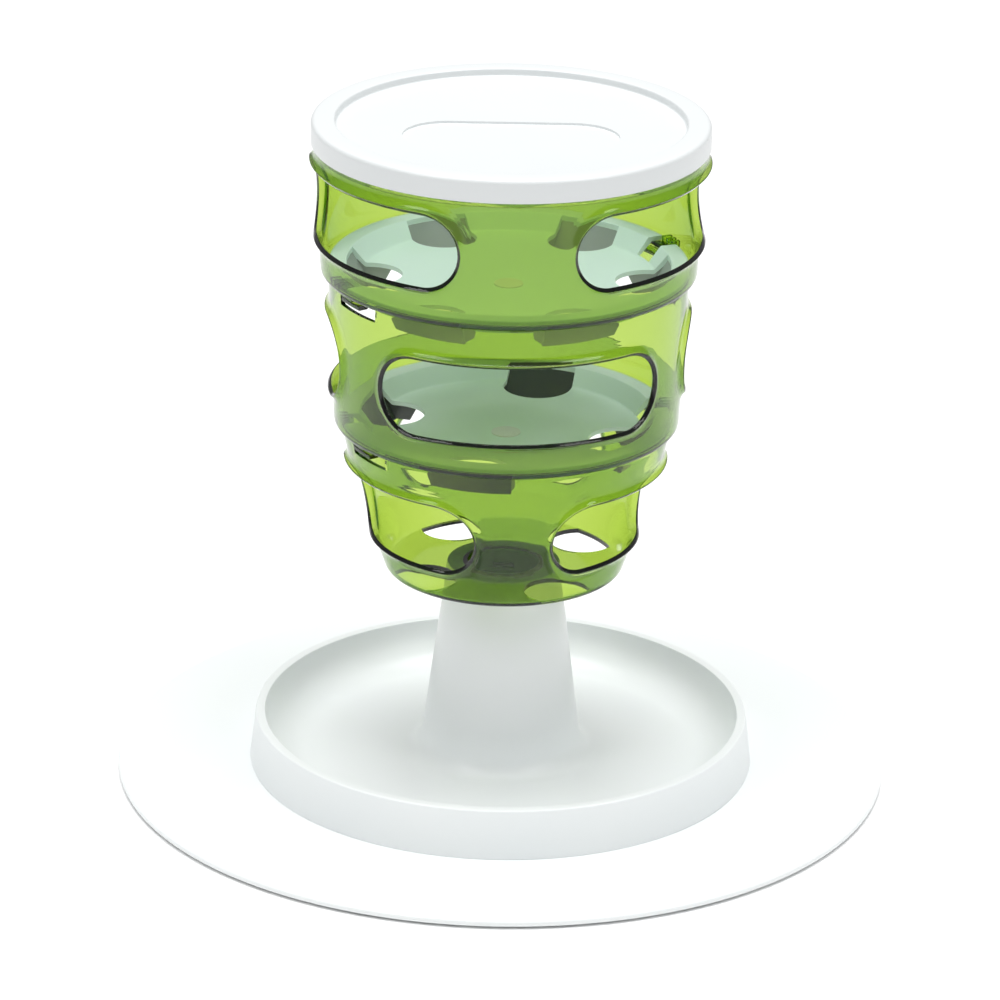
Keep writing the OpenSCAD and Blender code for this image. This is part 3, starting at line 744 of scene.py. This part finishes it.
def green_san(look):
    """SAN, tinted and polished: clear walls that go dark green where the eye looks along them."""
    material, tree = new_material("green SAN, clear")
    # Fine handling haze
    haze = patches(tree, 4 * MM, 2.0)
    shader = add_node(tree, "ShaderNodeBsdfPrincipled", {"Roughness": between(tree, haze, 0.01, 0.04)},
                      base_color=(1, 1, 1, 1), ior=1.5, transmission_weight=1.0)
    tint = add_node(tree, "ShaderNodeVolumeAbsorption", color=(*look.green, 1), density=1060.0)
    surface = let_light_through(tree, shader, GREEN_PASS)
    add_node(tree, "ShaderNodeOutputMaterial", {"Surface": surface, "Volume": tint.outputs["Volume"]})
    return material


def soft_rubber(look):
    """Thermoplastic rubber, moulded matt: dark grey with a pale bloom and a grit that grips the floor."""
    material, tree = new_material("rubber, matt")
    tone = blend(tree, patches(tree, 12 * MM, 4.0), look.rubber, look.rubber_dust)
    grit = patches(tree, 0.6 * MM, 2.0)
    shader = add_node(tree, "ShaderNodeBsdfPrincipled", {
        "Base Color": tone, "Normal": relief(tree, grit, 0.3, 0.2 * MM)}, roughness=0.75, ior=1.52)
    add_node(tree, "ShaderNodeOutputMaterial", {"Surface": shader.outputs["BSDF"]})
    return material


def finish(maker):
    """The material that a maker gives, made once."""
    if maker.__name__ not in finish.made:
        finish.made[maker.__name__] = maker(bpy.context.scene.maze_finishes)
    return finish.made[maker.__name__]


finish.made = {}


# Pieces

class MAZE_OT_base(bpy.types.Operator):
    """Turn the plate with its lock ring, and the soft ring under it"""
    bl_idname = "treat_maze.base"
    bl_label = "Plate and soft ring"

    def execute(self, context):
        s = context.scene.maze_base
        low, top = s.plate_low, s.plate_top
        groove = 2 * MM
        ring = turned("soft_ring", [
            (s.ring_inner, 0, 0.6 * MM), (s.ring_outer, 0, 0.6 * MM),
            (s.ring_outer, groove, 0), (s.ring_inner, groove, 0)], steps=256)
        finish_piece(ring, finish(soft_rubber), "base", "soft_rubber", "grip_ring")
        lug_low = top + 3.4 * MM
        lug_top = lug_low + 2.2 * MM
        lock_top = lug_top + CLEAR
        lock_inner = s.lock_radius - 2.4 * MM
        plate = turned("plate", [
            (0, low, 0), (s.ring_inner, low, 0), (s.ring_inner, groove, 0), (s.ring_outer, groove, 0),
            (s.ring_outer, low, 0), (s.plate_radius, low, s.edge_round), (s.plate_radius, top, s.edge_round),
            (s.lock_radius, top, 0.4 * MM), (s.lock_radius, lock_top, 0.4 * MM),
            (lock_inner, lock_top, 0.4 * MM), (lock_inner, top, 0.4 * MM), (0, top, 0)], steps=256)
        lug_span, stop_span = math.radians(14), math.radians(2)
        for i in range(3):
            at = i * TURN / 3
            lug = block("lock lug", s.lock_radius - SUNK, s.lock_radius + 2.6 * MM,
                        lug_low, lug_top, at, lug_span)
            stop = block("lock stop", s.lock_radius - 2 * SUNK, s.lock_radius + 2.1 * MM, top - SUNK,
                         lug_low + SUNK, at - lug_span / 2 - PLAY, stop_span)
            add_on(plate, lug)
            add_on(plate, stop)
        finish_piece(plate, finish(white_abs), "base", "white_plastic", "base_plate")
        return {"FINISHED"}


class MAZE_OT_dish(bpy.types.Operator):
    """Turn the food dish with its trunk, and cut the socket in the trunk's top"""
    bl_idname = "treat_maze.dish"
    bl_label = "Dish and trunk"

    def execute(self, context):
        s = context.scene.maze_dish
        foot = context.scene.maze_base.plate_top
        wall, rim, floor, top = s.wall, s.rim_height, s.floor_height, s.trunk_height
        taper = (s.trunk_foot - s.trunk_top) / (top - floor)
        slant = wall * math.sqrt(1 + taper ** 2)
        socket, socket_floor = 18.6 * MM, top - 11.8 * MM
        lug_low = top - 9 * MM
        lug_top = lug_low + context.scene.maze_shell.lug_height
        hollow_top = socket_floor - wall
        bowl_edge = s.rim_radius - s.rim_width
        bowl_round = rim - floor
        bowl_middle = bowl_edge - bowl_round
        under = bowl_round + wall
        void = rim - 3 * wall
        void_edge = bowl_middle + math.sqrt(under ** 2 - (rim - void) ** 2)
        lean = (s.foot_radius - s.rim_radius) / (rim - foot)
        dish = turned("food_dish", [
            (0, socket_floor, 0), (socket, socket_floor, 0), (socket, top, 0.4 * MM),
            (s.trunk_top, top, 0.6 * MM), (s.trunk_foot, floor, s.trunk_fillet),
            (bowl_edge, floor, bowl_round - 0.7 * MM), (bowl_edge, rim, 0.5 * MM),
            (s.rim_radius, rim, s.rim_round), (s.foot_radius, foot, 0.3 * MM),
            (s.foot_radius - wall, foot, 0), (s.foot_radius - wall - lean * (void - foot), void, 0.6 * MM),
            *arc(bowl_middle, rim, under, -math.degrees(math.acos((void_edge - bowl_middle) / under)), -90),
            (s.trunk_foot + taper * wall - slant, floor - wall, s.trunk_fillet + wall),
            (s.trunk_foot - taper * (hollow_top - floor) - slant, hollow_top, 0),
            (0, hollow_top, 0)], steps=224)
        cut_inner = socket - 0.9 * MM
        for half in HALVES:
            groove = block("groove", cut_inner, 20.8 * MM, lug_low - CLEAR, lug_top + CLEAR,
                           half + SPIGOT_TWIST / 2, SPIGOT_LUG + SPIGOT_TWIST + 2 * PLAY)
            way = block("way", cut_inner, 21 * MM, lug_top, top + MM,
                        half + SPIGOT_TWIST, SPIGOT_LUG + 3 * PLAY)
            combine(dish, groove, "DIFFERENCE")
            combine(dish, way, "DIFFERENCE")
        inside = s.foot_radius - wall
        for i in range(3):
            catch = block("catch", inside - 3.2 * MM, inside + wall / 2, foot + CLEAR, foot + 2.6 * MM,
                          i * TURN / 3, math.radians(12))
            add_on(dish, catch)
        finish_piece(dish, finish(white_abs), "dish", "white_plastic", "dish")
        return {"FINISHED"}


class MAZE_OT_lower_tier(bpy.types.Operator):
    """Roll up the windowed wall of the lower tier and draw it on to its floor and spigot"""
    bl_idname = "treat_maze.lower_tier"
    bl_label = "Lower tier"

    def execute(self, context):
        s = context.scene.maze_lower_tier
        shell = context.scene.maze_shell
        lean = math.atan2(s.bulge_radius - s.floor_radius - s.corner, s.bulge_height - s.bottom - s.corner)
        foot = (s.floor_radius + s.corner * math.cos(lean), s.bottom + s.corner * (1 - math.sin(lean)))

        def wall(z):
            a = foot[1] - 2 * s.bulge_height + s.top
            b = 2 * (s.bulge_height - foot[1])
            t = (math.sqrt(b * b - 4 * a * (foot[1] - z)) - b) / (2 * a)
            return (1 - t) ** 2 * foot[0] + 2 * t * (1 - t) * s.bulge_radius + t * t * s.top_radius

        low = foot[1] + shell.rest
        sheet = windowed_wall("lower_shell", s, shell, low, s.top - shell.rest, wall)
        under = s.bottom + shell.rest
        bend = arc(s.floor_radius, s.bottom + s.corner + shell.rest, s.corner, -math.degrees(lean), -90, 7)
        spigot = s.bottom - s.spigot_length
        run_on(sheet, low, [(x, z) for x, z, _ in bend[1:]]
               + [(40 * MM, under), (30 * MM, under), (s.spigot_radius, under), (s.spigot_radius, spigot),
                  (9 * MM, spigot), (0, spigot)])
        thicken(sheet, shell)
        for i in range(4):
            at = outwards(s.hole_azimuth + i * TURN / 4) * s.hole_offset
            hole = rod(s.hole_radius, 6 * MM, (at.x, at.y, s.bottom + MM))
            combine(hole, disc("bound", s.floor_radius, s.bottom - MM, s.bottom + 3.5 * MM), "INTERSECT")
            combine(sheet, hole, "DIFFERENCE")
        lug_low = spigot + 2 * MM
        for half in HALVES:
            lug = block("lug", s.spigot_radius - SUNK, s.spigot_radius + 2.2 * MM, lug_low,
                        lug_low + shell.lug_height, half, SPIGOT_LUG)
            combine(sheet, lug, "UNION")
        cut_slots(sheet, shell, s.top, s.top_radius)
        finish_piece(sheet, finish(green_san), "lower_storey", "green_clear_plastic", "lower_tier")
        return {"FINISHED"}


class MAZE_OT_middle_tier(bpy.types.Operator):
    """Roll up the windowed wall of the middle tier and draw it in to its ledge"""
    bl_idname = "treat_maze.middle_tier"
    bl_label = "Middle tier"

    def execute(self, context):
        s = context.scene.maze_middle_tier
        shell = context.scene.maze_shell
        sheet = rolled_tier("middle_shell", s, shell, s.top - shell.rest)
        thicken(sheet, shell)
        cut_slots(sheet, shell, s.top, s.top_radius)
        add_lugs(sheet, s, shell)
        finish_piece(sheet, finish(green_san), "middle_storey", "green_clear_plastic", "middle_tier")
        return {"FINISHED"}


class MAZE_OT_upper_tier(bpy.types.Operator):
    """Roll up the windowed wall of the upper tier, draw it in to its ledge and up to the lid's neck"""
    bl_idname = "treat_maze.upper_tier"
    bl_label = "Upper tier"

    def execute(self, context):
        s = context.scene.maze_upper_tier
        shell = context.scene.maze_shell
        sheet = rolled_tier("upper_shell", s, shell, s.top)
        run_on(sheet, s.top, [(s.neck_radius, s.top), (s.neck_radius, s.neck_top - shell.rest)])
        thicken(sheet, shell)
        add_lugs(sheet, s, shell)
        finish_piece(sheet, finish(green_san), "upper_storey", "green_clear_plastic", "upper_tier")
        return {"FINISHED"}


def make_shelf(name, s, shell, tier, painted_shade_maker, count, hole_radius, hole_offset, hole_azimuth):
    """Turns a shelf, cuts its drop holes and its notches, and hangs the aprons under it."""
    body = tier.ledge_radius - CLEAR
    edge = body - s.thickness
    floor = edge - s.slope
    rim = tier.bottom_radius - RIM_INSET
    rim_low = tier.bottom + 2.2 * MM
    rim_top = rim_low + s.thickness
    floor_top = rim_top - s.depth
    floor_low = floor_top - s.thickness
    shelf = turned(name, [
        (0, floor_low, 0), (floor, floor_low, 1.5 * MM), (body, rim_low, 0), (rim, rim_low, 0.3 * MM),
        (rim, rim_top, 0.7 * MM), (edge, rim_top, MM), (floor, floor_top, 2 * MM), (0, floor_top, 0)])
    # The shelf takes the white with painted green light.
    shelf.data.materials.append(finish(green_lit_white_abs))
    azimuths = [hole_azimuth + i * TURN / count for i in range(count)]
    for at in azimuths:
        out = outwards(at)
        hole = rod(hole_radius, 20 * MM, (*(out * hole_offset).xy, floor_top))
        bpy.ops.object.mode_set(mode="EDIT")
        pick(lambda v: v.co.dot(out) > hole_offset - SAME / 2)
        bpy.ops.transform.translate(value=out * 40 * MM)
        bpy.ops.object.mode_set(mode="OBJECT")
        combine(hole, disc("bound", edge - 0.2 * MM, floor_top - 9 * MM, floor_top + 9 * MM), "INTERSECT")
        combine(shelf, hole, "DIFFERENCE")
    notch_play, notch_turn = math.radians(3), math.radians(1.05)
    for half in HALVES:
        notch = block("notch", floor + CLEAR, rim + MM, floor_low - MM, rim_top + MM,
                      tier.key_azimuth + half + notch_turn, shell.key_span + notch_play)
        combine(shelf, notch, "DIFFERENCE")
    apron_radius = body - s.apron_lean
    span = 2 * math.asin((hole_radius + 2.5 * MM) / apron_radius)
    across = hole_radius + 2.2 * MM
    start = apron_radius - s.apron_side
    apron_low = floor_low - s.apron_drop
    side_low = apron_low + 0.5 * MM
    side_top = floor_low + SUNK
    side_inset = 0.3 * MM

    def chord(radius):
        return math.sqrt(radius ** 2 - across ** 2)

    outline = [(start, side_top), (start + s.apron_drop / 2, side_low),
               (chord(apron_radius) - side_inset, side_low), (chord(body) - side_inset, rim_low),
               (chord(edge), rim_low), (chord(floor), side_top)]
    for at in azimuths:
        apron = turned("apron", [
            (apron_radius - s.thickness, apron_low, 0.4 * MM), (apron_radius, apron_low, 0.4 * MM),
            (body, rim_low + SUNK, 0), (edge + SUNK, rim_low + SUNK, 0)], span=span, azimuth=at)
        # The apron and its side walls take the grey of painted shade.
        apron.data.materials.append(finish(painted_shade_maker))
        add_on(shelf, apron)
        out, beside = outwards(at), outwards(at + math.pi / 2)
        for way in (-1, 1):
            spots = [out * x + beside * way * across + Vector((0, 0, z)) for x, z in outline]
            side = slab("apron side", spots, beside * -way * s.thickness)
            side.data.materials.append(finish(painted_shade_maker))
            add_on(shelf, side)
    mark = rod(s.mark_radius, 1.6 * MM, (0, -s.mark_offset, floor_top - 0.2 * MM))
    soften(mark, 0.3 * MM)
    add_on(shelf, mark)
    return shelf


class MAZE_OT_shelves(bpy.types.Operator):
    """Turn the two drop-hole shelves and cut their holes"""
    bl_idname = "treat_maze.shelves"
    bl_label = "Shelves"

    def execute(self, context):
        scene = context.scene
        s, shell = scene.maze_shelves, scene.maze_shell
        # The upper aprons get the pale grey of painted half shade, the middle ones the dull grey of painted
        # deep shade.
        upper = make_shelf("upper_drop_shelf", s, shell, scene.maze_upper_tier, half_shade_abs, s.upper_holes,
                           s.upper_hole_radius, s.upper_hole_offset, s.upper_hole_azimuth)
        finish_piece(upper, finish(green_lit_white_abs), "upper_shelf", "white_plastic", "upper_shelf")
        middle = make_shelf("middle_drop_shelf", s, shell, scene.maze_middle_tier, deep_shade_abs, s.middle_holes,
                            s.middle_hole_radius, s.middle_hole_offset, s.middle_hole_azimuth)
        finish_piece(middle, finish(green_lit_white_abs), "middle_shelf", "white_plastic", "middle_shelf")
        return {"FINISHED"}


class MAZE_OT_lid(bpy.types.Operator):
    """Turn the lid and sink the stadium recess in its panel"""
    bl_idname = "treat_maze.lid"
    bl_label = "Lid"

    def execute(self, context):
        s = context.scene.maze_lid
        panel = s.top - s.panel_depth
        inner = s.radius - s.rim_width
        neck_top = s.top - s.wall
        lid = turned("lid_cover", [
            (0, panel, 0), (inner, panel, 0.9 * MM), (inner, s.top, 0.9 * MM), (s.radius, s.top, s.rim_round),
            (s.radius, s.skirt, 0.5 * MM), (s.radius - s.wall, s.skirt, 0.4 * MM),
            (s.radius - s.wall, neck_top, 0), (inner + s.wall, neck_top, 0),
            (inner + s.wall, panel - s.wall, 0.4 * MM), (0, panel - s.wall, 0)], steps=224)
        recess = stadium("recess", s.recess_length, s.recess_width,
                         0, -s.recess_offset, panel - s.recess_depth)
        bpy.ops.mesh.select_all(action="SELECT")
        bpy.ops.mesh.extrude_region_move(TRANSFORM_OT_translate={"value": (0, 0, s.recess_depth + MM)})
        bpy.ops.mesh.select_all(action="SELECT")
        bpy.ops.mesh.normals_make_consistent(inside=False)
        combine(lid, recess, "DIFFERENCE")
        finish_piece(lid, finish(white_pp), "lid", "white_plastic", "lid")
        return {"FINISHED"}


class MAZE_OT_stage(bpy.types.Operator):
    """Set the floor, the soft studio light and the camera"""
    bl_idname = "treat_maze.stage"
    bl_label = "Stage"

    def execute(self, context):
        scene = context.scene
        fresh()
        bpy.ops.mesh.primitive_plane_add(size=14, location=(0, 0, 0))
        floor = context.object
        floor.name = "studio_floor"
        material, tree = new_material("studio paper, matt")
        fibre = patches(tree, 4 * MM, 2.0)
        shader = add_node(tree, "ShaderNodeBsdfPrincipled", {"Roughness": between(tree, fibre, 0.85, 0.95)},
                          base_color=(*scene.maze_finishes.floor, 1), specular_ior_level=0.0)
        add_node(tree, "ShaderNodeOutputMaterial", {"Surface": shader.outputs["BSDF"]})
        floor.data.materials.append(material)

        world = bpy.data.worlds.new("studio")
        world.use_nodes = True
        world.node_tree.nodes["Background"].inputs["Color"].default_value = (1, 1, 1, 1)
        world.node_tree.nodes["Background"].inputs["Strength"].default_value = WORLD_STRENGTH
        scene.world = world
        for name, at, size, watts in LAMPS:
            fresh()
            bpy.ops.object.light_add(type="AREA", location=at)
            lamp = context.object
            lamp.name = name
            lamp.data.shape = "DISK"
            lamp.data.size = size
            lamp.data.energy = watts
            aim = LAMP_AIM - Vector(at)
            lamp.rotation_euler = aim.to_track_quat("-Z", "Y").to_euler()

        ahead = Vector((0, math.cos(CAMERA_DOWN), -math.sin(CAMERA_DOWN)))
        level_up = Vector((0, math.sin(CAMERA_DOWN), math.cos(CAMERA_DOWN)))
        right = Vector((math.cos(CAMERA_ROLL), 0, 0)) + level_up * math.sin(CAMERA_ROLL)
        up = right.cross(ahead)
        fresh()
        bpy.ops.object.camera_add(location=(0, 0, 0))
        camera = context.object
        camera.name = "photo_camera"
        place = Matrix((right, up, -ahead)).transposed().to_4x4()
        place.translation = CAMERA_TARGET - ahead * CAMERA_DISTANCE
        camera.matrix_world = place
        camera.data.sensor_width = 36
        camera.data.lens = CAMERA_LENS
        camera.data.clip_end = 50
        scene.camera = camera
        scene.view_settings.view_transform = "Standard"
        return {"FINISHED"}


class MAZE_PT_panel(bpy.types.Panel):
    bl_idname = "MAZE_PT_panel"
    bl_label = "Treat maze"
    bl_space_type = "VIEW_3D"
    bl_region_type = "UI"
    bl_category = "Treat maze"

    def draw(self, context):
        for step in STEPS:
            self.layout.operator(step.bl_idname)
        for name, group in GROUPS.items():
            box = self.layout.box()
            box.label(text=name.replace("maze_", "").replace("_", " ").capitalize())
            for key in group.__annotations__:
                box.prop(getattr(context.scene, name), key)


STEPS = (MAZE_OT_base, MAZE_OT_dish, MAZE_OT_lower_tier, MAZE_OT_middle_tier, MAZE_OT_upper_tier,
         MAZE_OT_shelves, MAZE_OT_lid, MAZE_OT_stage)
GROUPS = {
    "maze_base": BaseSizes,
    "maze_dish": DishSizes,
    "maze_lower_tier": LowerTierSizes,
    "maze_middle_tier": MiddleTierSizes,
    "maze_upper_tier": UpperTierSizes,
    "maze_shell": ShellSizes,
    "maze_shelves": ShelfSizes,
    "maze_lid": LidSizes,
    "maze_finishes": Finishes,
}


def register():
    for item in (*GROUPS.values(), *STEPS, MAZE_PT_panel):
        bpy.utils.register_class(item)
    for name, group in GROUPS.items():
        setattr(bpy.types.Scene, name, PointerProperty(type=group))


def unregister():
    for name in GROUPS:
        delattr(bpy.types.Scene, name)
    for item in (MAZE_PT_panel, *reversed(STEPS), *reversed(GROUPS.values())):
        bpy.utils.unregister_class(item)


def main():
    register()
    for step in STEPS:
        group, name = step.bl_idname.split(".")
        getattr(getattr(bpy.ops, group), name)()


if __name__ == "__main__":
    main()
